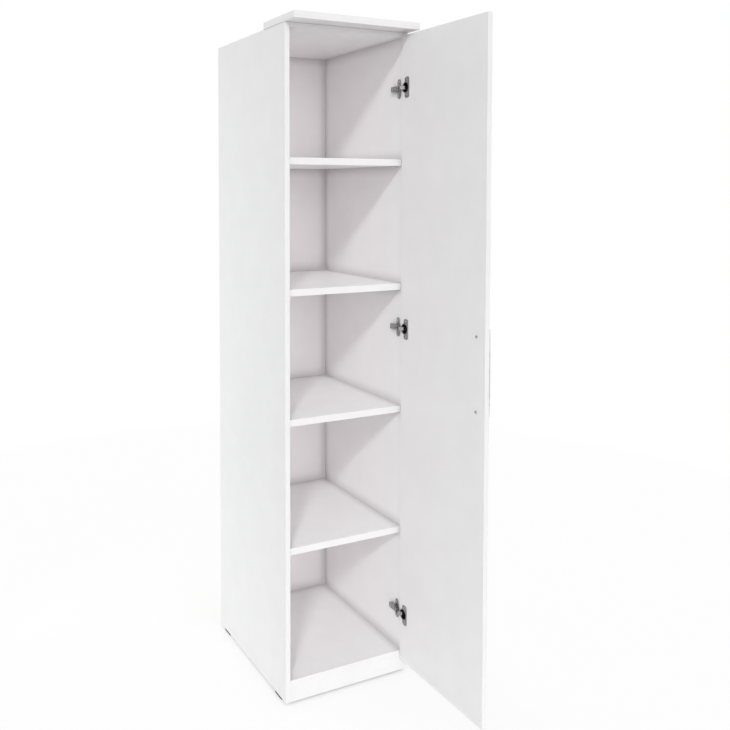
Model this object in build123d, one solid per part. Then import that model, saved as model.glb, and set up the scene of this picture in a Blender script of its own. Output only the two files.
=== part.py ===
"""Tall one-door cabinet: board carcass, four shelves, cup hinges with bent links, bar handle."""
from build123d import *
import math
import os

# Carcass boards
cabinet_width = 450
cabinet_depth = 582
side_height = 2165
side_thickness = 16
top_thickness = 16
bottom_thickness = 22
plinth_height = 49
plinth_thickness = 16
back_thickness = 3
back_inset = 19
groove_depth = 8
groove_clearance = 0.2
groove_end_gap = 0.5
edge_radius = 0.8

# Cornice board
cornice_thickness = 22
cornice_front_overhang = 71
cornice_side_overhang = 2
cornice_depth = 231

# Shelves and their pins
shelf_count = 4
shelf_thickness = 22
shelf_setback = 8
shelf_side_gap = 0.5
shelf_back_gap = 0.5
hole_grid = 32
lowest_shelf_drop = 10
pin_radius = 2.5
pin_hole_depth = 9
pin_reach = 8
pin_front_distance = 45
pin_rear_distance = 60
pin_fit = 0.03
pin_seat_gap = 0.05

# Floor glides
glide_height = 7
glide_length = 56
glide_inset = 1
glide_end_distance = 36
glide_stud_radius = 2.5
glide_stud_length = 8
glide_stud_spacing = 30
glide_stud_fit = 0.05

# Dowels in the board joints
dowel_radius = 4
dowel_length = 22
dowel_fit = 0.03
dowel_end_gap = 0.5
dowel_end_distance = 125
plinth_dowel_spacing = 130
cornice_dowel_spacing = 300
cornice_dowel_front = 40
cornice_dowel_rear = 30

# Cam fittings
cam_radius = 7.5
cam_skin = 3.5
cam_fit = 0.1
cam_edge_distance = 24
cam_end_distance = 70
cam_slot_width = 1.6
cam_slot_depth = 2
bolt_thread_radius = 2.5
bolt_thread_length = 11
bolt_shank_radius = 3
bolt_neck_radius = 1.8
bolt_head_length = 2.5
bolt_fit = 0.2

# Nails of the back panel
nail_radius = 0.8
nail_length = 18
nail_head_radius = 1.8
nail_head_height = 0.8
nail_fit = 0.05
nail_count = 5
nail_edge_distance = 40

# Door
door_thickness = 16
door_reveal = 2
door_gap = 2
door_drop = 5
door_top_gap = 11
door_edge_radius = 1
door_open_angle = 90.6

# Hinge places and motion
upper_hinge_from_top = 172
middle_hinge_below_shelf = 128
lower_hinge_from_bottom = 163
arm_pin_inset = 14
arm_pin_setback = 4
cup_pin_edge = 10
cup_pin_depth = 3
link_turn_ratio = 0.4125

# Hinge cup, liner and cup screws
cup_radius = 17.5
cup_edge_distance = 5
cup_cover = 4
cup_wall = 0.8
cup_floor = 0.7
cup_fit = 0.1
flange_thickness = 1.2
flange_rim = 1
ear_width = 25
ear_height = 68
ear_start = 18
ear_corner_radius = 8
liner_wall = 1
liner_floor = 0.6
liner_fit = 0.05
liner_drop = 0.4
boss_width = 6
boss_depth = 4
cup_screw_edge = 33
cup_screw_spacing = 52

# Hinge link and pins
hinge_pin_radius = 1.3
hinge_pin_fit = 0.03
hinge_side_gap = 0.3
link_thickness = 3.2
link_half_width = 5.5
link_collar = 1.2
link_eye_radius = 2.2
link_floor_gap = 1.1
link_lean = 4

# Hinge arm
arm_sheet = 1.5
arm_length = 60
arm_eye_radius = 4.2
arm_web_gap = 0.3
arm_bend_setback = 24
arm_flange_inset = 3.5
arm_flange_start = 18
arm_flange_end = 2

# Mounting plate
plate_thickness = 2
plate_wing_setback = 15
plate_wing_width = 18
plate_wing_height = 64
plate_corner_radius = 8
plate_screw_spacing = 48
saddle_height = 9.5
saddle_start = 11
saddle_rear_cover = 3

# Hinge screws
screw_fit = 0.05
plate_screw_radius = 2.4
plate_screw_length = 13
plate_screw_head_radius = 4
plate_screw_head_height = 2
cup_screw_radius = 1.8
cup_screw_length = 12
cup_screw_head_radius = 3.4
cup_screw_head_height = 1.6
arm_screw_radius = 2
arm_screw_length = 8
arm_screw_head_radius = 3.2
arm_screw_head_height = 1.8
arm_screw_rear_distances = [28, 12]
cross_slot_width = 0.9
cross_slot_depth = 0.9
head_round = 0.5

# Handle and its screws
handle_edge_distance = 41
handle_above_middle = 2
handle_width = 12
handle_thickness = 8
handle_projection = 32
handle_bow = 1.5
handle_edge_round = 1.5
handle_hole_spacing = 224
handle_end_overhang = 19.5
handle_post_radius = 5
handle_screw_radius = 2
handle_screw_grip = 10
handle_screw_head_radius = 4.2
handle_screw_head_height = 2.4
handle_hole_fit = 0.5

# Planes of the carcass, from the sizes above
left = -cabinet_width / 2
right = cabinet_width / 2
front = -cabinet_depth / 2
rear = cabinet_depth / 2
inner_left = left + side_thickness
inner_right = right - side_thickness
back_outer = rear - back_inset
back_inner = back_outer - back_thickness
side_bottom = glide_height
side_top = side_bottom + side_height
top_underside = side_top - top_thickness
bottom_underside = side_bottom + plinth_height
bottom_face = bottom_underside + bottom_thickness
shelf_steps = round((top_underside - bottom_face) / (shelf_count + 1) / hole_grid)
shelf_pitch = shelf_steps * hole_grid
lowest_shelf = bottom_face + shelf_pitch - lowest_shelf_drop
shelf_undersides = [lowest_shelf + i * shelf_pitch for i in range(shelf_count)]
shelf_front = front + shelf_setback
pin_rows = [shelf_front + pin_front_distance, back_inner - pin_rear_distance]
cornice_front = front - cornice_front_overhang
cornice_rear = cornice_front + cornice_depth
cam_height = top_thickness - cam_skin
cam_rows = [front + cam_end_distance, back_inner - cam_end_distance]
dowel_rows = [front + dowel_end_distance, back_inner - dowel_end_distance]

# Planes of the closed door, its hinged edge on the right
door_hinge_edge = right - door_reveal
door_free_edge = left + door_reveal
door_inner = front - door_gap
door_bottom = bottom_underside - door_drop
door_top = side_top - door_top_gap
hinge_levels = {
    "upper": door_top - upper_hinge_from_top,
    "middle": shelf_undersides[shelf_count // 2] - middle_hinge_below_shelf,
    "lower": door_bottom + lower_hinge_from_bottom,
}

# Sizes of the hinge that follow from the boards and from each other
cup_depth = door_thickness - cup_cover
liner_radius = cup_radius - cup_wall - liner_fit
link_dip = cup_depth - cup_floor - liner_floor - link_floor_gap - link_thickness / 2
link_eye_half_width = link_half_width + link_collar
saddle_half_width = link_eye_half_width
arm_cheek_inner = link_eye_half_width + hinge_side_gap
arm_half_width = arm_cheek_inner + arm_sheet
saddle_end = arm_length - saddle_rear_cover
handle_length = handle_hole_spacing + 2 * handle_end_overhang

# Pins of the hinge in plan, and where the links and the door stand when the door is open
arm_pin_x = inner_right - arm_pin_inset
arm_pin_y = front + arm_pin_setback
cup_pin_x = door_hinge_edge - cup_pin_edge
cup_pin_y = door_inner - cup_pin_depth
link_turn = -link_turn_ratio * door_open_angle
link_open = Pos(arm_pin_x, arm_pin_y, 0) * Rot(0, 0, link_turn) * Pos(-arm_pin_x, -arm_pin_y, 0)
open_cup_pin = (link_open * Pos(cup_pin_x, cup_pin_y, 0)).position
door_turn = Rot(0, 0, door_open_angle)
door_open = Pos(open_cup_pin.X, open_cup_pin.Y, 0) * door_turn * Pos(-cup_pin_x, -cup_pin_y, 0)


def block(x_start, x_end, y_start, y_end, z_start, z_end):
    """A plain box between six planes."""
    center = Pos((x_start + x_end) / 2, (y_start + y_end) / 2, (z_start + z_end) / 2)
    return center * Box(x_end - x_start, y_end - y_start, z_end - z_start)


def board(x_start, x_end, y_start, y_end, z_start, z_end):
    """A board whose front edges are slightly rounded."""
    plain = block(x_start, x_end, y_start, y_end, z_start, z_end)
    return fillet(plain.edges().group_by(Axis.Y)[0], edge_radius)


def rod(point, direction, radius, length):
    """A round bar from a point along a direction."""
    start = Plane(origin=point, z_dir=direction).location
    return start * Cylinder(radius, length, align=(Align.CENTER, Align.CENTER, Align.MIN))


def centred_rod(point, direction, radius, length):
    """A round bar with its middle at a point."""
    return Plane(origin=point, z_dir=direction).location * Cylinder(radius, length)


def cross_slot(head_radius, depth):
    """The cross recess of a screw head whose top is at z = 0."""
    arm = Pos(0, 0, -depth / 2) * Box(head_radius, cross_slot_width, depth)
    return arm + Rot(0, 0, 90) * arm


def screw(point, direction, radius, length, head_radius, head_height):
    """A cross-slot screw: the underside of its head at the point, its head towards the direction."""
    head = Cylinder(head_radius, head_height, align=(Align.CENTER, Align.CENTER, Align.MIN))
    head = fillet(head.edges().group_by(Axis.Z)[-1], head_round)
    head -= Pos(0, 0, head_height) * cross_slot(head_radius, cross_slot_depth)
    shank = Pos(0, 0, -length) * Cylinder(radius, length, align=(Align.CENTER, Align.CENTER, Align.MIN))
    return Plane(origin=point, z_dir=direction).location * (head + shank)


def group(solids):
    """Separate like pieces in one node."""
    return Compound(children=[item.solid() for item in solids])


def minus(shape, tools):
    """A shape with each tool cut away."""
    for tool in tools:
        shape -= tool
    return shape


def near_span(tools, x_start, x_end):
    """The tools that reach into a span of the width."""
    boxes = [(tool, tool.bounding_box()) for tool in tools]
    return [tool for tool, box in boxes if box.max.X > x_start and box.min.X < x_end]


def near_level(tools, z_start, z_end):
    """The tools that reach between two levels."""
    boxes = [(tool, tool.bounding_box()) for tool in tools]
    return [tool for tool, box in boxes if box.max.Z > z_start and box.min.Z < z_end]


def strap(points, thickness):
    """A flat outline of constant width with round ends along a chain of points."""
    outline = Sketch()
    for (x0, y0), (x1, y1) in zip(points, points[1:]):
        middle = Pos((x0 + x1) / 2, (y0 + y1) / 2)
        turn = Rot(0, 0, math.degrees(math.atan2(y1 - y0, x1 - x0)))
        outline += middle * turn * SlotCenterToCenter(math.hypot(x1 - x0, y1 - y0), thickness)
    return outline


def slab(outline, z_start, z_end):
    """A flat outline carried from one level to another."""
    return Pos(0, 0, z_start) * extrude(outline, z_end - z_start)


# Carcass joints: places of the dowels, cams, bolts and nails
def dowel_places():
    """Middle point and axis of each dowel, on the joint that it crosses."""
    places = []
    end_joints = [(y, level) for y in dowel_rows for level in (top_underside + top_thickness / 2,
                                                               bottom_underside + bottom_thickness / 2)]
    end_joints.append((front + plinth_thickness / 2, side_bottom + plinth_height / 2))
    for y, level in end_joints:
        places.append(((inner_left, y, level), (1, 0, 0)))
        places.append(((inner_right, y, level), (1, 0, 0)))
    plinth_middle = front + plinth_thickness / 2
    for step in (-1, 0, 1):
        places.append(((step * plinth_dowel_spacing, plinth_middle, bottom_underside), (0, 0, 1)))
    for side in (-1, 1):
        for y in (front + cornice_dowel_front, cornice_rear - cornice_dowel_rear):
            places.append(((side * cornice_dowel_spacing / 2, y, side_top), (0, 0, 1)))
    return places


def dowels():
    return group([centred_rod(p, axis, dowel_radius, dowel_length) for p, axis in dowel_places()])


def dowel_holes():
    hole_length = dowel_length + 2 * dowel_end_gap
    return [centred_rod(p, axis, dowel_radius + dowel_fit, hole_length) for p, axis in dowel_places()]


def cam_places():
    """Centre of each cam's open face, the way it opens (1 is up) and the way to the end (1 is right)."""
    places = []
    for y in cam_rows:
        for face, opening in ((side_top, 1), (bottom_underside, -1)):
            places.append((inner_left + cam_edge_distance, y, face, opening, -1))
            places.append((inner_right - cam_edge_distance, y, face, opening, 1))
    return places


def bolt_level(face, opening):
    return face - opening * top_thickness / 2


def cam_discs():
    discs = []
    for x, y, face, opening, end in cam_places():
        disc = rod((x, y, face - opening * cam_height), (0, 0, opening), cam_radius - cam_fit, cam_height)
        slot = Pos(0, 0, -cam_slot_depth / 2) * Box(cam_radius, cam_slot_width, cam_slot_depth)
        cross = slot + Rot(0, 0, 90) * slot
        disc -= Plane(origin=(x, y, face), z_dir=(0, 0, opening)).location * cross
        seat = (x - end * bolt_shank_radius, y, bolt_level(face, opening))
        disc -= rod(seat, (end, 0, 0), bolt_shank_radius + bolt_fit, cam_edge_distance)
        discs.append(disc)
    return group(discs)


def cam_holes():
    return [rod((x, y, face - opening * cam_height), (0, 0, opening), cam_radius, cam_height)
            for x, y, face, opening, _ in cam_places()]


def cam_bolts():
    """Thread in the side panel, shank in the board's end, neck and head inside the cam."""
    bolts = []
    shank_length = cam_edge_distance - cam_radius
    neck_length = cam_radius - bolt_head_length / 2
    for x, y, face, opening, end in cam_places():
        level = bolt_level(face, opening)
        joint = x + end * cam_edge_distance
        bolt = rod((joint, y, level), (end, 0, 0), bolt_thread_radius, bolt_thread_length)
        bolt += rod((joint, y, level), (-end, 0, 0), bolt_shank_radius, shank_length)
        neck_start = joint - end * shank_length
        bolt += rod((neck_start, y, level), (-end, 0, 0), bolt_neck_radius, neck_length)
        head_start = neck_start - end * neck_length
        bolt += rod((head_start, y, level), (-end, 0, 0), bolt_shank_radius, bolt_head_length)
        bolts.append(bolt)
    return group(bolts)


def bolt_holes():
    holes = []
    for x, y, face, opening, end in cam_places():
        joint = (x + end * cam_edge_distance, y, bolt_level(face, opening))
        holes.append(rod(joint, (end, 0, 0), bolt_thread_radius + screw_fit, bolt_thread_length))
        holes.append(rod(joint, (-end, 0, 0), bolt_shank_radius + bolt_fit, cam_edge_distance))
    return holes


def nail_places():
    """Points on the rear face of the back panel where it is nailed to the top and bottom panels."""
    span = inner_right - inner_left - 2 * nail_edge_distance
    columns = [inner_left + nail_edge_distance + span * i / (nail_count - 1) for i in range(nail_count)]
    levels = [top_underside + top_thickness / 2, bottom_underside + bottom_thickness / 2]
    return [(x, back_outer, level) for x in columns for level in levels]


def back_nails():
    nails = []
    for place in nail_places():
        nail = rod(place, (0, -1, 0), nail_radius, nail_length)
        nails.append(nail + rod(place, (0, 1, 0), nail_head_radius, nail_head_height))
    return group(nails)


def nail_holes():
    return [rod(p, (0, -1, 0), nail_radius + nail_fit, nail_length + nail_fit) for p in nail_places()]


# Shelves
def shelf_pin_places():
    """Mouth of each pin's hole in a side panel, and the way that the pin points."""
    places = []
    for underside in shelf_undersides:
        level = underside - pin_seat_gap - pin_radius
        for y in pin_rows:
            places.append(((inner_left, y, level), 1))
            places.append(((inner_right, y, level), -1))
    return places


def shelf_pins():
    pins = []
    for (x, y, level), way in shelf_pin_places():
        hole_end = (x - way * pin_hole_depth, y, level)
        pins.append(rod(hole_end, (way, 0, 0), pin_radius, pin_hole_depth + pin_reach))
    return group(pins)


def shelf_pin_holes():
    return [rod(p, (-way, 0, 0), pin_radius + pin_fit, pin_hole_depth) for p, way in shelf_pin_places()]


def shelf(underside):
    return board(inner_left + shelf_side_gap, inner_right - shelf_side_gap,
                 shelf_front, back_inner - shelf_back_gap, underside, underside + shelf_thickness)


# Glides
def glide_places():
    """Middle of each glide on the underside of a side panel."""
    columns = [left + side_thickness / 2, right - side_thickness / 2]
    reach = glide_end_distance + glide_length / 2
    return [(x, y) for x in columns for y in (front + reach, rear - reach)]


def glide_studs(x, y, radius):
    studs = []
    for step in (-1, 1):
        foot = (x, y + step * glide_stud_spacing / 2, side_bottom)
        studs.append(rod(foot, (0, 0, 1), radius, glide_stud_length))
    return studs


def floor_glides():
    glides = []
    for x, y in glide_places():
        outline = Pos(x, y) * Rot(0, 0, 90) * SlotOverall(glide_length, side_thickness - 2 * glide_inset)
        glide = slab(outline, 0, glide_height)
        for stud in glide_studs(x, y, glide_stud_radius):
            glide += stud
        glides.append(glide)
    return group(glides)


def glide_stud_holes():
    hole_radius = glide_stud_radius + glide_stud_fit
    return [stud for x, y in glide_places() for stud in glide_studs(x, y, hole_radius)]


# Hinges, worked out with the door closed
def cup_place(level):
    """Centre of the cup's mouth, looking out of the door's inner face."""
    x = door_hinge_edge - cup_edge_distance - cup_radius
    return Plane(origin=(x, door_inner, level), x_dir=(-1, 0, 0), z_dir=(0, 1, 0)).location


def cup_pin(level, radius, half_length):
    return centred_rod((cup_pin_x, cup_pin_y, level), (0, 0, 1), radius, 2 * half_length)


def cup_pin_half_length():
    """Half the chord of the liner's outside at the far side of the cup pin, less a gap."""
    offset = cup_edge_distance + cup_radius - cup_pin_edge + hinge_pin_radius
    return math.sqrt(liner_radius ** 2 - offset ** 2) - hinge_side_gap


def hinge_cup(level):
    """Pressed cup with a flange and two ears; its own z points out of the door."""
    centre_from_edge = cup_edge_distance + cup_radius
    ear_middle = ear_start + ear_width / 2 - centre_from_edge
    ears = Pos(ear_middle, 0) * RectangleRounded(ear_width, ear_height, ear_corner_radius)
    flange = slab(ears + Circle(cup_radius + flange_rim), 0, flange_thickness)
    body = rod((0, 0, -cup_depth), (0, 0, 1), cup_radius, cup_depth)
    hollow_depth = cup_depth - cup_floor
    hollow = rod((0, 0, -hollow_depth), (0, 0, 1), cup_radius - cup_wall, hollow_depth + flange_thickness)
    cup = cup_place(level) * (flange + body - hollow)
    return minus(cup, cup_screw_holes(level))


def cup_liner(level):
    """Dark liner inside the cup, open towards the hinged edge between the two bosses of the cup pin."""
    base = -cup_depth + cup_floor
    height = cup_depth - cup_floor - liner_drop
    whole = rod((0, 0, base), (0, 0, 1), liner_radius, height)
    inside = rod((0, 0, base + liner_floor), (0, 0, 1), liner_radius - liner_wall, height)
    pin_offset = cup_pin_edge - cup_edge_distance - cup_radius
    boss_inner = link_half_width + hinge_side_gap
    bosses = block(-cup_radius, pin_offset + boss_width / 2, -cup_radius, cup_radius,
                   -cup_pin_depth - boss_depth, -liner_drop)
    window = block(-cup_radius, pin_offset + boss_width / 2, -boss_inner, boss_inner, base + liner_floor, 0)
    liner = cup_place(level) * (whole - inside + (bosses & whole) - window)
    return liner - cup_pin(level, hinge_pin_radius + hinge_pin_fit, cup_radius)


def cup_screw_places(level):
    x = door_hinge_edge - cup_screw_edge
    y = door_inner + flange_thickness
    return [(x, y, level + side * cup_screw_spacing / 2) for side in (-1, 1)]


def cup_screws_at(level):
    return [screw(p, (0, 1, 0), cup_screw_radius, cup_screw_length,
                  cup_screw_head_radius, cup_screw_head_height) for p in cup_screw_places(level)]


def cup_screw_holes(level):
    hole_radius = cup_screw_radius + screw_fit
    return [rod(p, (0, -1, 0), hole_radius, cup_screw_length) for p in cup_screw_places(level)]


def link_points():
    """Chain of points of the bent link: cup pin, along the cup's floor, arm pin."""
    dip = door_inner - link_dip
    return [(cup_pin_x, cup_pin_y), (cup_pin_x, dip), (arm_pin_x + link_lean, dip), (arm_pin_x, arm_pin_y)]


def hinge_link(level):
    """Bent strip with a rolled eye at each end."""
    link = slab(strap(link_points(), link_thickness), level - link_half_width, level + link_half_width)
    link += centred_rod((cup_pin_x, cup_pin_y, level), (0, 0, 1), link_eye_radius, 2 * link_half_width)
    link += centred_rod((arm_pin_x, arm_pin_y, level), (0, 0, 1), link_eye_radius, 2 * link_eye_half_width)
    bore_radius = hinge_pin_radius + hinge_pin_fit
    link -= centred_rod((cup_pin_x, cup_pin_y, level), (0, 0, 1), bore_radius, 2 * arm_half_width)
    return link - centred_rod((arm_pin_x, arm_pin_y, level), (0, 0, 1), bore_radius, 2 * arm_half_width)


def arm_point(inset, setback):
    """Plan point at a distance from the side panel's inner face and from its front edge."""
    return (inner_right - inset, front + setback)


def hinge_arm(level):
    """Sheet-metal arm: a bent web between two cheeks that hold the arm pin."""
    web_middle = saddle_height + arm_web_gap + arm_sheet / 2
    web_rear = arm_point(web_middle, arm_length - arm_sheet / 2)
    web_bend = arm_point(web_middle, arm_bend_setback)
    web_nose = arm_point(arm_pin_inset + arm_eye_radius, arm_pin_setback)
    web = strap([web_rear, web_bend, web_nose], arm_sheet)
    flange_end = arm_length - arm_flange_end
    lower_line = [arm_point(arm_pin_inset - arm_eye_radius, arm_pin_setback),
                  arm_point(arm_flange_inset, arm_flange_start), arm_point(arm_flange_inset, flange_end)]
    cheek = Polygon(arm_point(web_middle, flange_end), web_bend, web_nose, *lower_line, align=None)
    cheek += Pos(arm_pin_x, arm_pin_y) * Circle(arm_eye_radius)
    arm = slab(web, level - arm_half_width, level + arm_half_width)
    arm += slab(cheek, level - arm_half_width, level - arm_cheek_inner)
    arm += slab(cheek, level + arm_cheek_inner, level + arm_half_width)
    pin_hole = centred_rod((arm_pin_x, arm_pin_y, level), (0, 0, 1), hinge_pin_radius + hinge_pin_fit,
                           3 * arm_half_width)
    return minus(arm, [pin_hole] + arm_screw_holes(level))


def arm_pin(level):
    return centred_rod((arm_pin_x, arm_pin_y, level), (0, 0, 1), hinge_pin_radius, 2 * arm_half_width)


def arm_screw_places(level):
    inset = saddle_height + arm_web_gap + arm_sheet
    return [(inner_right - inset, front + arm_length - reach, level) for reach in arm_screw_rear_distances]


def arm_screws_at(level):
    return [screw(p, (-1, 0, 0), arm_screw_radius, arm_screw_length,
                  arm_screw_head_radius, arm_screw_head_height) for p in arm_screw_places(level)]


def arm_screw_holes(level):
    hole_radius = arm_screw_radius + screw_fit
    return [rod(p, (1, 0, 0), hole_radius, arm_screw_length) for p in arm_screw_places(level)]


def mounting_plate(level):
    """Winged plate on the side panel with the saddle that carries the arm; its own z points inwards."""
    face = Plane(origin=(inner_right, front, level), x_dir=(0, 1, 0), z_dir=(-1, 0, 0)).location
    wing_middle = plate_wing_setback + plate_wing_width / 2
    wings = Pos(wing_middle, 0) * RectangleRounded(plate_wing_width, plate_wing_height, plate_corner_radius)
    saddle_middle = (saddle_start + saddle_end) / 2
    saddle = Pos(saddle_middle, 0) * Rectangle(saddle_end - saddle_start, 2 * saddle_half_width)
    plate = face * (slab(wings, 0, plate_thickness) + slab(saddle, 0, saddle_height))
    return minus(plate, plate_screw_holes(level) + arm_screw_holes(level))


def plate_screw_places(level):
    y = front + plate_wing_setback + plate_wing_width / 2
    return [(inner_right - plate_thickness, y, level + side * plate_screw_spacing / 2) for side in (-1, 1)]


def plate_screws_at(level):
    return [screw(p, (-1, 0, 0), plate_screw_radius, plate_screw_length,
                  plate_screw_head_radius, plate_screw_head_height) for p in plate_screw_places(level)]


def plate_screw_holes(level):
    hole_radius = plate_screw_radius + screw_fit
    return [rod(p, (1, 0, 0), hole_radius, plate_screw_length) for p in plate_screw_places(level)]


def at_each_hinge(maker):
    """All the pieces that a maker gives at the three hinges."""
    pieces = []
    for level in hinge_levels.values():
        made = maker(level)
        pieces.extend(made if isinstance(made, list) else [made])
    return pieces


# Door, closed
def handle_places():
    """Points on the door's inner face opposite the handle's posts."""
    x = door_free_edge + handle_edge_distance
    middle = (door_bottom + door_top) / 2 + handle_above_middle
    return [(x, door_inner, middle + side * handle_hole_spacing / 2) for side in (-1, 1)]


def door_panel():
    outer = door_inner - door_thickness
    panel = block(door_free_edge, door_hinge_edge, outer, door_inner, door_bottom, door_top)
    panel = fillet(panel.edges(), door_edge_radius)
    for level in hinge_levels.values():
        bore = Cylinder(cup_radius + cup_fit, cup_depth, align=(Align.CENTER, Align.CENTER, Align.MAX))
        panel -= cup_place(level) * bore
        panel = minus(panel, cup_screw_holes(level))
    hole_radius = handle_screw_radius + handle_hole_fit
    return minus(panel, [rod(p, (0, -1, 0), hole_radius, door_thickness) for p in handle_places()])


def door_handle():
    """Slightly bowed flat bar on two round posts; its own z points out of the door's outer face."""
    half = handle_length / 2
    outer_middle = handle_projection
    outer_end = handle_projection - handle_bow
    outer_line = ThreePointArc((-half, outer_end), (0, outer_middle), (half, outer_end))
    inner_line = ThreePointArc((half, outer_end - handle_thickness), (0, outer_middle - handle_thickness),
                               (-half, outer_end - handle_thickness))
    ends = [Line(outer_line @ 1, inner_line @ 0), Line(inner_line @ 1, outer_line @ 0)]
    profile = make_face([outer_line, ends[0], inner_line, ends[1]])
    bar = extrude(profile, handle_width / 2, both=True)
    bar = fillet(bar.edges(), handle_edge_round)
    first, second = handle_places()
    middle = (first[0], door_inner - door_thickness, (first[2] + second[2]) / 2)
    handle = Plane(origin=middle, x_dir=(0, 0, 1), z_dir=(1, 0, 0)).location * bar
    feet = [(x, y - door_thickness, level) for x, y, level in handle_places()]
    post_length = handle_projection - handle_bow - handle_thickness / 2
    for foot in feet:
        handle += rod(foot, (0, -1, 0), handle_post_radius, post_length)
    thread_radius = handle_screw_radius + screw_fit
    return minus(handle, [rod(foot, (0, -1, 0), thread_radius, handle_screw_grip) for foot in feet])


def handle_screws():
    length = door_thickness + handle_screw_grip
    return group([screw(p, (0, 1, 0), handle_screw_radius, length, handle_screw_head_radius,
                        handle_screw_head_height) for p in handle_places()])


# Carcass
def side_panel(x_start, x_end, inner_face, way):
    """A side panel with its groove and holes; way is the direction from its inner face into the board."""
    panel = board(x_start, x_end, front, rear, side_bottom, side_top)
    groove_end = inner_face + way * groove_depth
    panel -= block(min(inner_face, groove_end), max(inner_face, groove_end),
                   back_inner - groove_clearance, back_outer + groove_clearance, side_bottom, side_top)
    holes = dowel_holes() + bolt_holes() + shelf_pin_holes() + glide_stud_holes()
    return minus(panel, near_span(holes, x_start, x_end))


def right_side_panel():
    panel = side_panel(inner_right, right, inner_right, 1)
    return minus(panel, [hole for level in hinge_levels.values() for hole in plate_screw_holes(level)])


def top_panel():
    panel = board(inner_left, inner_right, front, back_inner, top_underside, side_top)
    holes = dowel_holes() + cam_holes() + bolt_holes() + nail_holes()
    return minus(panel, near_level(holes, top_underside, side_top))


def bottom_panel():
    panel = board(inner_left, inner_right, front, back_inner, bottom_underside, bottom_face)
    holes = dowel_holes() + cam_holes() + bolt_holes() + nail_holes()
    return minus(panel, near_level(holes, bottom_underside, bottom_face))


def plinth_board():
    panel = board(inner_left, inner_right, front, front + plinth_thickness, side_bottom, bottom_underside)
    return minus(panel, near_level(dowel_holes(), side_bottom, bottom_underside))


def back_panel():
    reach = groove_depth - groove_end_gap
    panel_left = inner_left - reach
    panel_right = inner_right + reach
    panel = block(panel_left, panel_right, back_inner, back_outer, bottom_underside, side_top)
    return minus(panel, nail_holes())


def cornice_board():
    panel = block(left - cornice_side_overhang, right + cornice_side_overhang, cornice_front,
                  cornice_rear, side_top, side_top + cornice_thickness)
    panel = fillet(panel.edges(), edge_radius)
    return minus(panel, near_level(dowel_holes(), side_top, side_top + cornice_thickness))


def carcass_pieces():
    pieces = {
        "left_side_panel": side_panel(left, inner_left, inner_left, -1),
        "right_side_panel": right_side_panel(),
        "top_panel": top_panel(),
        "bottom_panel": bottom_panel(),
        "plinth_board": plinth_board(),
        "back_panel": back_panel(),
        "cornice_board": cornice_board(),
        "shelf_pins": shelf_pins(),
        "dowels": dowels(),
        "cam_discs": cam_discs(),
        "cam_bolts": cam_bolts(),
        "back_nails": back_nails(),
        "floor_glides": floor_glides(),
        "plate_screws": group(at_each_hinge(plate_screws_at)),
        "arm_screws": group(at_each_hinge(arm_screws_at)),
        "arm_pins": group(at_each_hinge(arm_pin)),
    }
    for number, underside in enumerate(shelf_undersides, start=1):
        pieces[f"shelf_{number}"] = shelf(underside)
    for name, level in hinge_levels.items():
        pieces[f"{name}_hinge_plate"] = mounting_plate(level)
        pieces[f"{name}_hinge_arm"] = hinge_arm(level)
    return pieces


def link_pieces():
    return {f"{name}_hinge_link": hinge_link(level) for name, level in hinge_levels.items()}


def door_pieces():
    pieces = {
        "door_panel": door_panel(),
        "door_handle": door_handle(),
        "handle_screws": handle_screws(),
        "cup_screws": group(at_each_hinge(cup_screws_at)),
        "cup_pins": group([cup_pin(level, hinge_pin_radius, cup_pin_half_length())
                           for level in hinge_levels.values()]),
    }
    for name, level in hinge_levels.items():
        pieces[f"{name}_hinge_cup"] = hinge_cup(level)
        pieces[f"{name}_cup_liner"] = cup_liner(level)
    return pieces


def all_pieces():
    """Every piece where it stands with the door open."""
    pieces = carcass_pieces()
    for name, shape in link_pieces().items():
        pieces[name] = link_open * shape
    for name, shape in door_pieces().items():
        pieces[name] = door_open * shape
    return pieces


if __name__ == "__main__":
    os.makedirs("parts", exist_ok=True)
    for node, shape in all_pieces().items():
        export_step(shape, f"parts/{node}.step")
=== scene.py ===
"""Dress the tall one-door cabinet: white boards, fibreboard back, plated hinges, satin handle, studio."""

import math

import bpy
import numpy as np
from bpy.props import FloatProperty, FloatVectorProperty, PointerProperty
from mathutils import Euler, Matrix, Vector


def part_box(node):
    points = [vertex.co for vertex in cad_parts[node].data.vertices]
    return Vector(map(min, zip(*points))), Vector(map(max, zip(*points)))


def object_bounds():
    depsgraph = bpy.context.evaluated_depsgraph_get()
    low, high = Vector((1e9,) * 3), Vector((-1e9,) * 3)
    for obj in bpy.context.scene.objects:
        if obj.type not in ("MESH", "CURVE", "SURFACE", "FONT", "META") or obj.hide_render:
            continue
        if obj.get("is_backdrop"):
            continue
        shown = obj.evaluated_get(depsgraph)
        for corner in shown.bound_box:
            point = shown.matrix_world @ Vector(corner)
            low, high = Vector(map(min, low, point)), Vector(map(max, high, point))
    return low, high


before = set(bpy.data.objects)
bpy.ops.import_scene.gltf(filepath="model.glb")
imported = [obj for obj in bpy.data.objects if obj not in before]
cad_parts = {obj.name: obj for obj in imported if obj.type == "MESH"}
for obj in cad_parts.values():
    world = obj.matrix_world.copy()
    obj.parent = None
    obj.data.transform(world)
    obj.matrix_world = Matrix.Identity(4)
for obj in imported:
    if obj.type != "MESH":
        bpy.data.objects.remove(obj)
cad_low, cad_high = (list(corner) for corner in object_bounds())

bl_info = {
    "name": "Tall cabinet dressing",
    "version": (1, 0, 0),
    "blender": (4, 5, 0),
    "location": "View3D > Sidebar > Cabinet",
    "description": "Finishes, floor, light and camera for a tall one-door cabinet",
    "category": "Object",
}

PICTURE_SIDE = 730
SENSOR_WIDTH = 36.0
CORNER_SAMPLES = 6
FLOOR_STEPS = 4
WHITE = (1.0, 1.0, 1.0)

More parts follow.
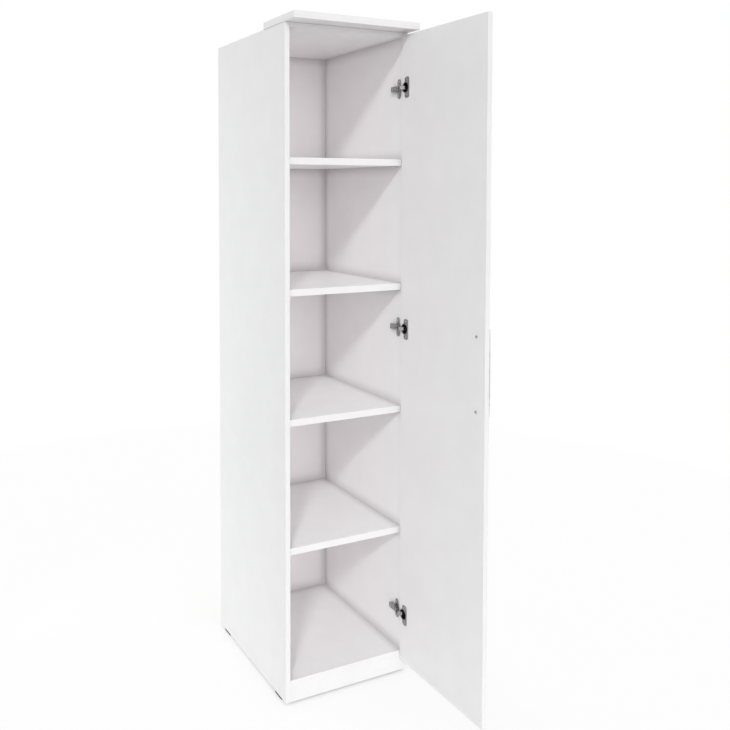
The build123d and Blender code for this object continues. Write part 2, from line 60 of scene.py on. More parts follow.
# Part of a normal along an axis, from a slanted face to one square to that axis
SLANTED, SQUARE = 0.80, 0.95
# Height over which the painted corner shade on a board begins, and depth over which its raw edge begins
SHADE_STEP, RAW_STEP = 0.01, 0.02
# How far a board's roughness drifts to either side, and how strongly its coating mirrors
GLOSS_DRIFT, COATING_SPECULAR = 0.06, 0.35
# Roughness of a raw chipboard edge and of bare fibre
CHIP_ROUGHNESS, FIBRE_ROUGHNESS = 0.85, 0.78
# Upward part of a direction at which the light from above is full
HORIZON_STEP = 0.1

HINGES = ("upper", "middle", "lower")
HINGE_STEEL = ("hinge_plate", "hinge_arm", "hinge_link", "hinge_cup")
SHELVES = tuple(name for name in sorted(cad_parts)
                if name.startswith("shelf_") and name != "shelf_pins")
CARCASS_BOARDS = ("left_side_panel", "right_side_panel", "top_panel", "bottom_panel",
                  "plinth_board") + SHELVES
BANDED_BOARDS = ("cornice_board", "door_panel")


def spec(name, description, default, **more):
    """A length, factor or number that a user may change."""
    return FloatProperty(name=name, description=description, default=default, **more)


def tint(name, description, default):
    """A colour that a user may change."""
    return FloatVectorProperty(name=name, description=description, default=default,
                               subtype="COLOR", size=3, min=0.0, max=1.0)


class BoardFinish(bpy.types.PropertyGroup):
    """Colours and textures of the coated boards and the back."""
    coating: tint("Coating", "White coating of the boards", (0.872, 0.871, 0.872))
    coating_shade: tint("Coating shade", "Darker tone in the coating's mottle", (0.853, 0.851, 0.852))
    scuff: tint("Scuff", "Grey rub marks close to the floor", (0.70, 0.69, 0.68))
    # Painted shade: ambient occlusion lays the corner grey into inner corners, gaps and around fittings,
    # where shade falls. The reach and foot below belong to that painted shade.
    corner: tint("Painted corner shade", "Grey painted shade laid into the inner corners", (0.65, 0.637, 0.642))
    corner_reach: spec("Corner reach", "How far the painted shade spreads out of a corner", 0.038, unit="LENGTH")
    unshaded_foot: spec("Unshaded foot", "Height above the floor up to which no painted shade is laid", 0.071,
                     unit="LENGTH")
    rub_height: spec("Rub height", "Height above the floor up to which the boards are rubbed", 0.075,
                     unit="LENGTH")
    gloss: spec("Roughness", "Mean roughness of the coating", 0.42, subtype="FACTOR", min=0.0, max=1.0)
    pearl_size: spec("Pearl size", "Size of the coating's fine grain", 0.0011, unit="LENGTH", precision=4)
    pearl_depth: spec("Pearl depth", "Depth of the coating's fine grain", 0.00003, unit="LENGTH", precision=5)
    raw_from: spec("Raw from", "Depth behind the middle from which the edges are raw", 0.20, unit="LENGTH")
    chip_light: tint("Light chips", "Light wood chips in the raw edges", (0.63, 0.47, 0.30))
    chip_dark: tint("Dark chips", "Dark wood chips in the raw edges", (0.30, 0.19, 0.105))
    fibre_light: tint("Light fibre", "Light fibres of the back's bare side", (0.43, 0.285, 0.165))
    fibre_dark: tint("Dark fibre", "Dark fibres of the back's bare side", (0.285, 0.175, 0.095))


class FittingFinish(bpy.types.PropertyGroup):
    """Colours and textures of the metal, plastic and wood fittings."""
    hinge: tint("Hinge plating", "Nickel plating of the hinges", (0.39, 0.39, 0.39))
    hinge_dull: tint("Dull plating", "Duller patches of the plating", (0.32, 0.32, 0.32))
    zinc: tint("Zinc plating", "Bright zinc on screws, bolts and nails", (0.55, 0.548, 0.54))
    zinc_dull: tint("Dull zinc", "Duller, warmer patches of the zinc", (0.46, 0.455, 0.445))
    cast: tint("Cast zinc", "Grey of the cast cam discs", (0.46, 0.455, 0.45))
    pin: tint("Pin steel", "Ground steel of the pins", (0.56, 0.555, 0.55))
    lacquer: tint("Lacquer", "White lacquer of the shelf pins", (0.86, 0.86, 0.86))
    lacquer_worn: tint("Worn lacquer", "Rubbed patches of the lacquer", (0.74, 0.735, 0.73))
    handle: tint("Handle", "Satin nickel of the handle", (0.60, 0.585, 0.565))
    handle_dull: tint("Handle shade", "Darker brush lines of the handle", (0.47, 0.455, 0.44))
    plastic: tint("Black plastic", "Moulded glides and cup liners", (0.010, 0.010, 0.0105))
    plastic_pale: tint("Rubbed plastic", "Greyer rubbed patches of the plastic", (0.030, 0.030, 0.031))
    beech: tint("Beech", "Light beech of the dowels", (0.62, 0.41, 0.235))
    beech_dark: tint("Beech grain", "Darker pores and rays of the beech", (0.43, 0.255, 0.125))


class StageSetup(bpy.types.PropertyGroup):
    """Camera, light and floor."""
    camera_place: FloatVectorProperty(
        name="Camera", description="Where the camera stands", size=3, subtype="TRANSLATION", unit="LENGTH",
        default=(-1.36247, -2.73484, 1.65253))
    camera_turn: spec("Turn", "Camera's turn from +Y towards +X", math.radians(27.22), subtype="ANGLE")
    camera_tilt: spec("Tilt", "Camera's tilt, up is positive", math.radians(-2.73), subtype="ANGLE")
    focal: spec("Focal length", "Focal length in picture widths", 864.2 / PICTURE_SIDE)
    centre_across: spec("Centre across", "Lens axis across the picture, from the left", 319.26 / PICTURE_SIDE)
    centre_down: spec("Centre down", "Lens axis down the picture, from the top", 230.91 / PICTURE_SIDE)
    lamp_turn: spec("Lamp turn", "Lamp's place to the left of straight in front", math.radians(33.8),
                    subtype="ANGLE")
    lamp_height: spec("Lamp height", "Lamp's height above the horizon", math.radians(32.6), subtype="ANGLE")
    lamp_spread: spec("Lamp spread", "Angle that the soft lamp fills", math.radians(7.5), subtype="ANGLE")
    lamp_power: spec("Lamp power", "Light of the lamp on a surface that faces it", 1.17)
    front_turn: spec("Front turn", "Front panel's place to the left of straight in front", math.radians(8.0),
                     subtype="ANGLE")
    front_height: spec("Front height", "Front panel's height above the horizon", math.radians(10.0),
                       subtype="ANGLE")
    front_spread: spec("Front spread", "Angle that the wide front panel fills", math.radians(40.0),
                       subtype="ANGLE")
    front_power: spec("Front power", "Light of the front panel on a surface that faces it", 0.387)
    front_tint: tint("Front tint", "Colour of the front panel's light", (1.0, 0.951, 0.970))
    ambient_above: spec("Light above", "Even light from above the horizon", 0.665)
    ambient_below: spec("Light below", "Even light from below the horizon, past the floor", 0.452)
    fill: spec("Inside fill", "Light that a reflector sends in through the open front", 0.78, unit="POWER")
    fill_tint: tint("Fill tint", "Colour of the light inside", (1.0, 0.88, 0.93))
    fill_gap: spec("Fill gap", "How far the reflector stands behind the shelves' front edges", 0.002,
                   unit="LENGTH", precision=4)
    fill_spread: spec("Fill spread", "Angle over which the reflector sends its light", math.radians(110.0),
                      subtype="ANGLE")
    wall_fill: spec("Wall fill", "Light that the left inner wall sends across", 0.92, unit="POWER")
    wall_fill_gap: spec("Wall fill gap", "How far that light stands off the wall", 0.001, unit="LENGTH",
                        precision=4)
    wall_fill_depth: spec("Wall fill depth", "Depth of the part of the wall that sends light", 0.36,
                          unit="LENGTH")
    wall_fill_place: spec("Wall fill place", "Middle of that part, from the middle of the depth", 0.08,
                          unit="LENGTH")
    side_fill: spec("Side fill", "Light of a reflector beside the rear left corner", 1.85, unit="POWER")
    side_tint: tint("Side tint", "Colour of the reflector beside the rear left corner", (0.93, 1.0, 0.975))
    side_fill_turn: spec("Side fill turn", "Side reflector's turn from +Y", math.radians(-125.0),
                         subtype="ANGLE")
    side_fill_width: spec("Side fill width", "Width of the side reflector", 0.5, unit="LENGTH")
    side_fill_across: spec("Side fill across", "Side reflector's place along X", -0.9, unit="LENGTH")
    side_fill_along: spec("Side fill along", "Side reflector's place along Y", 0.75, unit="LENGTH")
    floor_side: spec("Floor side", "Side of the square floor", 7.0, unit="LENGTH")
    floor_colour: tint("Floor", "Pale floor", (0.93, 0.93, 0.93))
    floor_white: spec("Floor white", "Share of plain white in the floor that is seen", 0.92, subtype="FACTOR",
                      min=0.0, max=1.0)
    floor_gap_white: spec("Gap white", "Part of that share left in the gap under a board", 0.06,
                          subtype="FACTOR", min=0.0, max=1.0)
    floor_gap_reach: spec("Gap reach", "How far the dark of the gap spreads", 0.06, unit="LENGTH")
    floor_near_white: spec("Near white", "Part of that share left at the foot of a wall", 0.80,
                           subtype="FACTOR", min=0.0, max=1.0)
    floor_near_reach: spec("Near reach", "How far the floor darkens around the object", 0.35, unit="LENGTH")
    floor_fade_from: spec("Fade from", "Distance at which the floor starts to fade to white", 1.5,
                          unit="LENGTH")
    floor_fade_to: spec("Fade to", "Distance from which the floor is plain white", 3.3, unit="LENGTH")


def start_material(name):
    """A new node material, its tree and its shader."""
    material = bpy.data.materials.new(name)
    material.use_nodes = True
    return material, material.node_tree, material.node_tree.nodes["Principled BSDF"]


def feed(tree, socket, value):
    """Link an output to the socket, or set the socket's own value."""
    if isinstance(value, bpy.types.NodeSocket):
        tree.links.new(value, socket)
    else:
        socket.default_value = value


def rgba(colour):
    """A colour property as four numbers."""
    return (*colour, 1.0)


def coordinates(tree, stretch=(1.0, 1.0, 1.0)):
    """Object coordinates, scaled along each axis to stretch a pattern."""
    place = tree.nodes.new("ShaderNodeTexCoord")
    mapping = tree.nodes.new("ShaderNodeMapping")
    tree.links.new(place.outputs["Object"], mapping.inputs["Vector"])
    mapping.inputs["Scale"].default_value = stretch
    return mapping.outputs["Vector"]


def facing(tree, axis):
    """Part of the surface normal along X, Y or Z, in object space."""
    place = tree.nodes.new("ShaderNodeTexCoord")
    parts = tree.nodes.new("ShaderNodeSeparateXYZ")
    tree.links.new(place.outputs["Normal"], parts.inputs[0])
    return parts.outputs[axis]


def position(tree, axis):
    """Object coordinate along X, Y or Z, in metres."""
    place = tree.nodes.new("ShaderNodeTexCoord")
    parts = tree.nodes.new("ShaderNodeSeparateXYZ")
    tree.links.new(place.outputs["Object"], parts.inputs[0])
    return parts.outputs[axis]


def distance(tree):
    """Distance from the middle of the footprint, in metres."""
    place = tree.nodes.new("ShaderNodeTexCoord")
    node = tree.nodes.new("ShaderNodeVectorMath")
    node.operation = "LENGTH"
    tree.links.new(place.outputs["Object"], node.inputs[0])
    return node.outputs["Value"]


def noise(tree, vector, size, detail=3.0, roughness=0.5, distortion=0.0):
    """Cloudy noise whose lumps are about size metres across, from 0 to 1."""
    node = tree.nodes.new("ShaderNodeTexNoise")
    tree.links.new(vector, node.inputs["Vector"])
    node.inputs["Scale"].default_value = 1.0 / size
    node.inputs["Detail"].default_value = detail
    node.inputs["Roughness"].default_value = roughness
    node.inputs["Distortion"].default_value = distortion
    return node.outputs["Fac"]


def flakes(tree, vector, size):
    """A random grey for each cell about size metres across."""
    node = tree.nodes.new("ShaderNodeTexVoronoi")
    tree.links.new(vector, node.inputs["Vector"])
    node.inputs["Scale"].default_value = 1.0 / size
    parts = tree.nodes.new("ShaderNodeSeparateColor")
    tree.links.new(node.outputs["Color"], parts.inputs["Color"])
    return parts.outputs["Red"]


def openness(tree, reach):
    """How open the surface lies within reach: 1 in the open, about 0.5 in a square corner, 0 in a gap."""
    node = tree.nodes.new("ShaderNodeAmbientOcclusion")
    node.samples = CORNER_SAMPLES
    node.inputs["Distance"].default_value = reach
    return node.outputs["AO"]


def spread(tree, value, low, high, to_low=0.0, to_high=1.0):
    """Value carried from the range low to high smoothly to another range."""
    node = tree.nodes.new("ShaderNodeMapRange")
    node.interpolation_type = "SMOOTHSTEP"
    feed(tree, node.inputs["Value"], value)
    node.inputs["From Min"].default_value = low
    node.inputs["From Max"].default_value = high
    node.inputs["To Min"].default_value = to_low
    node.inputs["To Max"].default_value = to_high
    return node.outputs["Result"]


def maths(tree, operation, first, second):
    """One sum on two values."""
    node = tree.nodes.new("ShaderNodeMath")
    node.operation = operation
    feed(tree, node.inputs[0], first)
    feed(tree, node.inputs[1], second)
    return node.outputs["Value"]


def shared(tree, first, second, share):
    """Two values added, the first by its share and the second by the rest."""
    rest = maths(tree, "MULTIPLY", second, 1.0 - share)
    return maths(tree, "ADD", maths(tree, "MULTIPLY", first, share), rest)


def blend(tree, share, first, second):
    """First colour turning into the second as the share goes from 0 to 1."""
    node = tree.nodes.new("ShaderNodeMix")
    node.data_type = "RGBA"
    feed(tree, node.inputs[0], share)
    feed(tree, node.inputs[6], first)
    feed(tree, node.inputs[7], second)
    return node.outputs[2]


def relief(tree, height, depth, under=None):
    """Surface normals tilted by a height pattern that is depth metres deep."""
    node = tree.nodes.new("ShaderNodeBump")
    node.inputs["Strength"].default_value = 1.0
    node.inputs["Distance"].default_value = depth
    tree.links.new(height, node.inputs["Height"])
    if under is not None:
        tree.links.new(under, node.inputs["Normal"])
    return node.outputs["Normal"]


def coated_look(tree, finish, unshaded_front=False):
    """Colour, roughness and normal of the white coating: mottle, pearl grain, rub marks and painted shade in
    the inner corners.
    """
    place = coordinates(tree)
    mottle = noise(tree, place, size=0.09, detail=5.0, roughness=0.62)
    shade = spread(tree, mottle, low=0.32, high=0.68)
    colour = blend(tree, shade, rgba(finish.coating), rgba(finish.coating_shade))
    streaks = noise(tree, coordinates(tree, stretch=(1.0, 1.0, 7.0)), size=0.03, detail=4.0, roughness=0.7)
    low_down = spread(tree, position(tree, "Z"), low=0.0, high=finish.rub_height, to_low=1.0, to_high=0.0)
    marks = spread(tree, streaks, low=0.56, high=0.74, to_high=0.5)
    colour = blend(tree, maths(tree, "MULTIPLY", low_down, marks), colour, rgba(finish.scuff))
    # Painted shade: ambient occlusion darkens the coating towards the corner grey in inner corners, in gaps
    # and around fittings.
    corners = spread(tree, openness(tree, finish.corner_reach), low=0.45, high=1.0, to_low=1.0, to_high=0.0)
    # The painted shade is left off the lowest strip, where the floor would darken the boards' feet.
    raised = spread(tree, position(tree, "Z"), low=finish.unshaded_foot - SHADE_STEP, high=finish.unshaded_foot)
    # The dust share here is the painted corner shade.
    dust = maths(tree, "MULTIPLY", corners, raised)
    # Faces that look straight to the front get no painted shade.
    if unshaded_front:
        dust = maths(tree, "MULTIPLY", dust, spread(tree, facing(tree, "Y"), low=-SQUARE, high=-SLANTED))
    colour = blend(tree, dust, colour, rgba(finish.corner))
    haze = noise(tree, place, size=0.035, detail=4.0, roughness=0.6)
    roughness = spread(tree, haze, low=0.25, high=0.75,
                       to_low=finish.gloss - GLOSS_DRIFT, to_high=finish.gloss + GLOSS_DRIFT)
    pearl = noise(tree, place, finish.pearl_size, detail=2.0, roughness=0.55)
    return colour, roughness, relief(tree, pearl, finish.pearl_depth)


def chip_look(tree, finish):
    """Colour and height of a raw chipboard edge: flakes of two sizes with fine dust between."""
    place = coordinates(tree)
    coarse = flakes(tree, place, size=0.0042)
    fine = flakes(tree, place, size=0.0013)
    dust = noise(tree, place, size=0.0006, detail=3.0)
    mixed = shared(tree, coarse, fine, share=0.55)
    tone = spread(tree, mixed, low=0.1, high=0.9)
    colour = blend(tree, tone, rgba(finish.chip_light), rgba(finish.chip_dark))
    return colour, maths(tree, "ADD", mixed, maths(tree, "MULTIPLY", dust, 0.5))


def finish_shader(tree, shader, colour, roughness, normal, metallic=0.0, specular=0.5):
    """Join colour, roughness and normal to the shader."""
    feed(tree, shader.inputs["Base Color"], colour)
    feed(tree, shader.inputs["Roughness"], roughness)
    feed(tree, shader.inputs["Normal"], normal)
    shader.inputs["Metallic"].default_value = metallic
    shader.inputs["Specular IOR Level"].default_value = specular


def banded_board(finish):
    """White coated board with coated edges all round."""
    material, tree, shader = start_material("white_coated_board")
    colour, roughness, normal = coated_look(tree, finish)
    finish_shader(tree, shader, colour, roughness, normal, specular=COATING_SPECULAR)
    return material


def raw_backed_board(finish):
    """White coated board with a coated front edge that gets no painted corner shade, and a rear edge of raw
    chipboard.
    """
    material, tree, shader = start_material("white_board_raw_rear")
    colour, roughness, normal = coated_look(tree, finish, unshaded_front=True)
    chips, grit = chip_look(tree, finish)
    rear = spread(tree, facing(tree, "Y"), low=SLANTED, high=SQUARE)
    behind = spread(tree, position(tree, "Y"), low=finish.raw_from, high=finish.raw_from + RAW_STEP)
    raw = maths(tree, "MULTIPLY", rear, behind)
    colour = blend(tree, raw, colour, chips)
    roughness = maths(tree, "MAXIMUM", roughness, maths(tree, "MULTIPLY", raw, CHIP_ROUGHNESS))
    normal = relief(tree, maths(tree, "MULTIPLY", grit, raw), depth=0.0004, under=normal)
    finish_shader(tree, shader, colour, roughness, normal, specular=COATING_SPECULAR)
    return material


def fibre_back(finish):
    """Thin fibreboard: white foil inside, bare brown fibres outside."""
    material, tree, shader = start_material("white_foil_fibreboard")
    colour, roughness, normal = coated_look(tree, finish)
    felt = noise(tree, coordinates(tree, stretch=(1.0, 1.0, 0.35)), size=0.0016, detail=6.0, roughness=0.75,
                 distortion=0.6)
    cloud = noise(tree, coordinates(tree), size=0.11, detail=4.0)
    tone = spread(tree, shared(tree, felt, cloud, share=0.65), low=0.35, high=0.65)
    bare = spread(tree, facing(tree, "Y"), low=0.4, high=0.6)
    colour = blend(tree, bare, colour, blend(tree, tone, rgba(finish.fibre_light), rgba(finish.fibre_dark)))
    roughness = maths(tree, "MAXIMUM", roughness, maths(tree, "MULTIPLY", bare, FIBRE_ROUGHNESS))
    normal = relief(tree, maths(tree, "MULTIPLY", felt, bare), depth=0.00012, under=normal)
    finish_shader(tree, shader, colour, roughness, normal, specular=0.3)
    return material


def plated_metal(name, bright, dull, roughness, patch, grain, depth, stretch=(1.0, 1.0, 1.0), metallic=1.0):
    """Bare or lacquered metal: duller, rougher patches and a fine grain that may be stretched."""
    material, tree, shader = start_material(name)
    place = coordinates(tree)
    patches = spread(tree, noise(tree, place, patch, detail=4.0, roughness=0.6), low=0.35, high=0.70)
    lines = noise(tree, coordinates(tree, stretch), grain, detail=3.0, roughness=0.6)
    tone = shared(tree, patches, lines, share=0.6)
    colour = blend(tree, spread(tree, tone, low=0.2, high=0.9), rgba(bright), rgba(dull))
    rough = spread(tree, tone, low=0.1, high=0.9, to_low=roughness - 0.08, to_high=roughness + 0.10)
    finish_shader(tree, shader, colour, rough, relief(tree, lines, depth), metallic=metallic)
    return material


def moulded_plastic(name, finish, grain, depth, roughness):
    """Black moulded plastic with a fine spark grain and greyer rubbed patches."""
    material, tree, shader = start_material(name)
    place = coordinates(tree)
    grit = noise(tree, place, grain, detail=2.0)
    rub = spread(tree, noise(tree, place, size=0.009, detail=5.0, roughness=0.65), low=0.55, high=0.78)
    colour = blend(tree, rub, rgba(finish.plastic), rgba(finish.plastic_pale))
    rough = spread(tree, rub, low=0.0, high=1.0, to_low=roughness, to_high=roughness + 0.18)
    finish_shader(tree, shader, colour, rough, relief(tree, grit, depth), specular=0.25)
    return material


def turned_beech(finish):
    """Beech dowel rod: long rays and pores with a fine relief."""
    material, tree, shader = start_material("beech_dowel")
    rays = noise(tree, coordinates(tree, stretch=(0.12, 1.0, 0.5)), size=0.0009, detail=5.0, roughness=0.65)
    cloud = noise(tree, coordinates(tree), size=0.012, detail=3.0)
    tone = spread(tree, shared(tree, rays, cloud, share=0.7), low=0.38, high=0.68)
    colour = blend(tree, tone, rgba(finish.beech), rgba(finish.beech_dark))
    rough = spread(tree, rays, low=0.3, high=0.7, to_low=0.5, to_high=0.66)
    finish_shader(tree, shader, colour, rough, relief(tree, rays, depth=0.0001), specular=0.3)
    return material


def dress(names, material):
    """Give the named pieces one material."""
    for name in names:
        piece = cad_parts.get(name)
        if piece is None:
            raise RuntimeError(f"no piece named {name} to dress")
        if not piece.material_slots:
            piece.data.materials.append(material)
        for place in piece.material_slots:
            place.material = material


def boards(context):
    """The scene's values for the boards."""
    return context.scene.cabinet_boards


def fittings(context):
    """The scene's values for the fittings."""
    return context.scene.cabinet_fittings


class CABINET_OT_carcass_boards(bpy.types.Operator):
    """Coat the sides, top, bottom, plinth and shelves, and leave their rear edges raw"""
    bl_idname = "cabinet.carcass_boards"
    bl_label = "Carcass boards"

    def execute(self, context):
        dress(CARCASS_BOARDS, raw_backed_board(boards(context)))
        return {"FINISHED"}


class CABINET_OT_banded_boards(bpy.types.Operator):
    """Coat the door and the cornice on every face and edge"""
    bl_idname = "cabinet.banded_boards"
    bl_label = "Door and cornice"

    def execute(self, context):
        dress(BANDED_BOARDS, banded_board(boards(context)))
        return {"FINISHED"}


class CABINET_OT_back_panel(bpy.types.Operator):
    """Face the thin back with white foil inside and bare fibre outside"""
    bl_idname = "cabinet.back_panel"
    bl_label = "Back panel"

    def execute(self, context):
        dress(("back_panel",), fibre_back(boards(context)))
        return {"FINISHED"}


class CABINET_OT_hinges(bpy.types.Operator):
    """Plate the hinge cups, arms, links and mounting plates, and mould the cup liners"""
    bl_idname = "cabinet.hinges"
    bl_label = "Hinges"

    def execute(self, context):
        finish = fittings(context)
        plated = plated_metal("nickel_hinge_steel", finish.hinge, finish.hinge_dull, roughness=0.30,
                              patch=0.011, grain=0.0006, depth=0.00002)
        dress([f"{hinge}_{piece}" for hinge in HINGES for piece in HINGE_STEEL], plated)
        liner = moulded_plastic("black_cup_liner", finish, grain=0.0005, depth=0.00003, roughness=0.42)
        dress([f"{hinge}_cup_liner" for hinge in HINGES], liner)
        return {"FINISHED"}


class CABINET_OT_pins(bpy.types.Operator):
    """Grind the hinge pins and lacquer the shelf pins white"""
    bl_idname = "cabinet.pins"
    bl_label = "Pins"

    def execute(self, context):
        finish = fittings(context)
        steel = plated_metal("ground_pin_steel", finish.pin, finish.hinge, roughness=0.26,
                             patch=0.004, grain=0.0004, depth=0.00001, stretch=(1.0, 1.0, 8.0))
        dress(("arm_pins", "cup_pins"), steel)
        lacquer = plated_metal("white_pin_lacquer", finish.lacquer, finish.lacquer_worn, roughness=0.40,
                               patch=0.004, grain=0.0006, depth=0.00003, metallic=0.0)
        dress(("shelf_pins",), lacquer)
        return {"FINISHED"}


class CABINET_OT_screws(bpy.types.Operator):
    """Plate the screws, cam bolts and nails with bright zinc, and cast the cam discs"""
    bl_idname = "cabinet.screws"
    bl_label = "Screws and cams"

    def execute(self, context):
        finish = fittings(context)
        zinc = plated_metal("bright_zinc", finish.zinc, finish.zinc_dull, roughness=0.28,
                            patch=0.003, grain=0.0004, depth=0.00002)
        dress(("plate_screws", "arm_screws", "cup_screws", "handle_screws", "cam_bolts", "back_nails"), zinc)
        cast = plated_metal("cast_cam_zinc", finish.cast, finish.zinc_dull, roughness=0.46,
                            patch=0.004, grain=0.0009, depth=0.00008)
        dress(("cam_discs",), cast)
        return {"FINISHED"}


class CABINET_OT_dowels(bpy.types.Operator):
    """Turn the dowels in beech"""
    bl_idname = "cabinet.dowels"
    bl_label = "Dowels"

    def execute(self, context):
        dress(("dowels",), turned_beech(fittings(context)))
        return {"FINISHED"}


class CABINET_OT_handle(bpy.types.Operator):
    """Brush the bar handle lengthwise"""
    bl_idname = "cabinet.handle"
    bl_label = "Handle"

    def execute(self, context):
        finish = fittings(context)
        brushed = plated_metal("satin_handle", finish.handle, finish.handle_dull, roughness=0.34,
                               patch=0.02, grain=0.0004, depth=0.00002, stretch=(1.0, 1.0, 0.03))
        dress(("door_handle",), brushed)
        return {"FINISHED"}


class CABINET_OT_glides(bpy.types.Operator):
    """Mould the floor glides in black plastic"""
    bl_idname = "cabinet.glides"
    bl_label = "Floor glides"

    def execute(self, context):
        plastic = moulded_plastic("black_glide", fittings(context), grain=0.0007, depth=0.00006,
                                  roughness=0.5)
        dress(("floor_glides",), plastic)
        return {"FINISHED"}


def seen_directly(tree):
    """1 for rays of the camera, of gloss and of glass, and 0 for rays that carry light."""
    rays = tree.nodes.new("ShaderNodeLightPath").outputs
    gloss = maths(tree, "MAXIMUM", rays["Is Camera Ray"], rays["Is Glossy Ray"])
    return maths(tree, "MAXIMUM", gloss, rays["Is Transmission Ray"])


def mixed_shader(tree, share, first, second):
    """First shader turning into the second as the share goes from 0 to 1."""
    node = tree.nodes.new("ShaderNodeMixShader")
    feed(tree, node.inputs[0], share)
    tree.links.new(first, node.inputs[1])
    tree.links.new(second, node.inputs[2])
    return node.outputs[0]


def white_surround(scene, setup):
    """World that is white where it is seen and an even light elsewhere."""
    scene.world = bpy.data.worlds.new("studio")
    scene.world.use_nodes = True
    tree = scene.world.node_tree
    tree.nodes.clear()
    way = tree.nodes.new("ShaderNodeTexCoord")
    parts = tree.nodes.new("ShaderNodeSeparateXYZ")
    tree.links.new(way.outputs["Generated"], parts.inputs[0])
    light = tree.nodes.new("ShaderNodeBackground")
    light.inputs["Color"].default_value = rgba(WHITE)
    level = spread(tree, parts.outputs["Z"], low=-HORIZON_STEP, high=HORIZON_STEP,
                   to_low=setup.ambient_below, to_high=setup.ambient_above)
    tree.links.new(level, light.inputs["Strength"])
    white = tree.nodes.new("ShaderNodeBackground")
    white.inputs["Color"].default_value = rgba(WHITE)
    white.inputs["Strength"].default_value = 1.0
    output = tree.nodes.new("ShaderNodeOutputWorld")
    both = mixed_shader(tree, seen_directly(tree), light.outputs[0], white.outputs[0])
    tree.links.new(both, output.inputs["Surface"])


def floor_material(setup):
    """Pale matt floor, mostly plain white where it is seen and less so close to the object: there ambient
    occlusion takes the white away, a painted contact shade through which the matt floor's real shadow shows.
    """
    material, tree, shader = start_material("pale_floor")
    tree.nodes.remove(shader)
    output = tree.nodes["Material Output"]
    matt = tree.nodes.new("ShaderNodeBsdfDiffuse")
    matt.inputs["Color"].default_value = rgba(setup.floor_colour)
    white = tree.nodes.new("ShaderNodeEmission")
    white.inputs["Color"].default_value = rgba(WHITE)
    white.inputs["Strength"].default_value = 1.0
    # Painted shade: ambient occlusion thins the plain white in the gap under the boards and around the
    # object, so the floor darkens there as contact shade.
    gap = spread(tree, openness(tree, setup.floor_gap_reach), low=0.0, high=1.0, to_low=setup.floor_gap_white)
    near = spread(tree, openness(tree, setup.floor_near_reach), low=0.5, high=1.0,
                  to_low=setup.floor_near_white * setup.floor_white, to_high=setup.floor_white)
    away = spread(tree, distance(tree), low=setup.floor_fade_from, high=setup.floor_fade_to)
    white_share = maths(tree, "MAXIMUM", maths(tree, "MULTIPLY", gap, near), away)
    share = maths(tree, "MULTIPLY", seen_directly(tree), white_share)
    tree.links.new(mixed_shader(tree, share, matt.outputs[0], white.outputs[0]), output.inputs["Surface"])
    return material


def flat_grid(name, side, level, steps):
    """Square sheet: x = side (u - 1/2), y = side (v - 1/2), z = level, for u and v from 0 to 1."""
    u, v = np.meshgrid(np.linspace(0, 1, steps + 1), np.linspace(0, 1, steps + 1), indexing="ij")
    points = np.stack([side * (u - 0.5), side * (v - 0.5), np.full_like(u, level)], axis=-1).reshape(-1, 3)
    first = (np.arange(steps)[:, None] * (steps + 1) + np.arange(steps)).reshape(-1)
    faces = np.stack([first, first + steps + 1, first + steps + 2, first + 1], axis=-1)
    mesh = bpy.data.meshes.new(name)
    mesh.from_pydata(points.tolist(), [], faces.tolist())
    sheet = bpy.data.objects.new(name, mesh)
    bpy.context.scene.collection.objects.link(sheet)
    return sheet


def far_lamp(scene, name, power, colour, spread_angle, height, turn):
    """Far lamp that fills an angle, seen at a height above the horizon and to the left of the front."""
    lamp = bpy.data.lights.new(name, "SUN")
    lamp.energy = power
    lamp.color = colour
    lamp.angle = spread_angle
    holder = bpy.data.objects.new(name, lamp)
    holder.rotation_euler = Euler((math.pi / 2 - height, 0.0, -turn))
    scene.collection.objects.link(holder)


def near_panel(scene, name, power, colour, spread_angle, size, place, turn):
    """Flat upright reflector, not seen itself, that shines along +Y turned about the vertical."""
    panel = bpy.data.lights.new(name, "AREA")
    panel.shape = "RECTANGLE"
    panel.energy = power
    panel.color = colour
    panel.spread = spread_angle
    panel.size, panel.size_y = size
    holder = bpy.data.objects.new(name, panel)
    holder.location = place
    holder.rotation_euler = Euler((math.pi / 2, 0.0, turn))
    holder.visible_camera = False
    holder.visible_glossy = False
    scene.collection.objects.link(holder)


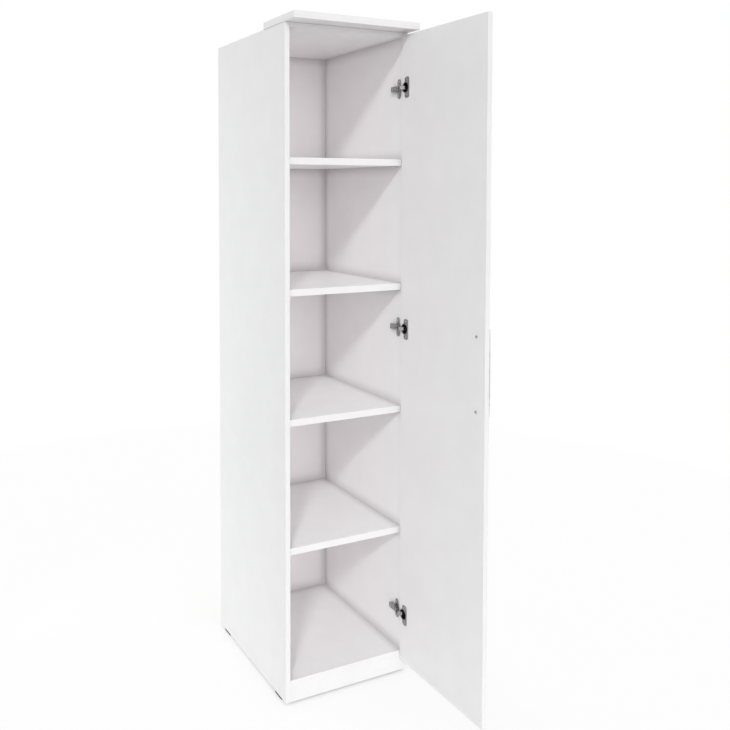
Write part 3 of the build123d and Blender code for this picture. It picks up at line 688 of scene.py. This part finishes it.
class CABINET_OT_stage(bpy.types.Operator):
    """Lay the pale floor, light the room and set the camera"""
    bl_idname = "cabinet.stage"
    bl_label = "Stage"

    def execute(self, context):
        scene, setup = context.scene, context.scene.cabinet_stage
        scene.view_settings.view_transform = "Standard"
        white_surround(scene, setup)
        floor = flat_grid("floor", setup.floor_side, cad_low[2], FLOOR_STEPS)
        floor.data.materials.append(floor_material(setup))
        floor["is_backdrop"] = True
        far_lamp(scene, "soft_lamp", setup.lamp_power, WHITE, setup.lamp_spread,
                 setup.lamp_height, setup.lamp_turn)
        far_lamp(scene, "front_panel", setup.front_power, setup.front_tint, setup.front_spread,
                 setup.front_height, setup.front_turn)
        left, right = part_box("left_side_panel")[1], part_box("right_side_panel")[0]
        bottom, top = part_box("bottom_panel")[1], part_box("top_panel")[0]
        level = (bottom[2] + top[2]) / 2
        height = top[2] - bottom[2]
        middle = (left[0] + right[0]) / 2
        shelf_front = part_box("shelf_1")[0][1]
        near_panel(scene, "inside_fill", setup.fill, setup.fill_tint, setup.fill_spread,
                   size=(right[0] - left[0], height),
                   place=(middle, shelf_front + setup.fill_gap, level), turn=0.0)
        near_panel(scene, "wall_fill", setup.wall_fill, setup.fill_tint, math.pi,
                   size=(setup.wall_fill_depth, height),
                   place=(left[0] + setup.wall_fill_gap, setup.wall_fill_place, level), turn=-math.pi / 2)
        near_panel(scene, "side_fill", setup.side_fill, setup.side_tint, math.pi,
                   size=(setup.side_fill_width, height),
                   place=(setup.side_fill_across, setup.side_fill_along, level), turn=setup.side_fill_turn)
        lens = bpy.data.cameras.new("camera")
        lens.sensor_width = SENSOR_WIDTH
        lens.lens = setup.focal * SENSOR_WIDTH
        lens.shift_x = 0.5 - setup.centre_across
        lens.shift_y = setup.centre_down - 0.5
        camera = bpy.data.objects.new("camera", lens)
        camera.location = setup.camera_place
        camera.rotation_euler = Euler((math.pi / 2 + setup.camera_tilt, 0.0, -setup.camera_turn))
        scene.collection.objects.link(camera)
        scene.camera = camera
        return {"FINISHED"}


STEPS = (
    CABINET_OT_stage,
    CABINET_OT_carcass_boards,
    CABINET_OT_banded_boards,
    CABINET_OT_back_panel,
    CABINET_OT_hinges,
    CABINET_OT_pins,
    CABINET_OT_screws,
    CABINET_OT_dowels,
    CABINET_OT_handle,
    CABINET_OT_glides,
)


class CABINET_PT_dressing(bpy.types.Panel):
    """Buttons and values for the cabinet's finishes and stage"""
    bl_idname = "CABINET_PT_dressing"
    bl_label = "Cabinet"
    bl_space_type = "VIEW_3D"
    bl_region_type = "UI"
    bl_category = "Cabinet"

    def draw(self, context):
        for step in STEPS:
            self.layout.operator(step.bl_idname)
        for group in (boards(context), fittings(context), context.scene.cabinet_stage):
            box = self.layout.box()
            for name in group.__annotations__:
                box.prop(group, name)


GROUPS = {
    "cabinet_boards": BoardFinish,
    "cabinet_fittings": FittingFinish,
    "cabinet_stage": StageSetup,
}


def register():
    """Add the classes, and the values that belong to the scene."""
    for kind in (*GROUPS.values(), *STEPS, CABINET_PT_dressing):
        bpy.utils.register_class(kind)
    for name, group in GROUPS.items():
        setattr(bpy.types.Scene, name, PointerProperty(type=group))


def unregister():
    """Take the values and the classes away again."""
    for name in GROUPS:
        delattr(bpy.types.Scene, name)
    for kind in reversed((*GROUPS.values(), *STEPS, CABINET_PT_dressing)):
        bpy.utils.unregister_class(kind)


def main():
    """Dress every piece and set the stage."""
    register()
    for step in STEPS:
        getattr(bpy.ops.cabinet, step.bl_idname.split(".")[1])()


if __name__ == "__main__":
    main()
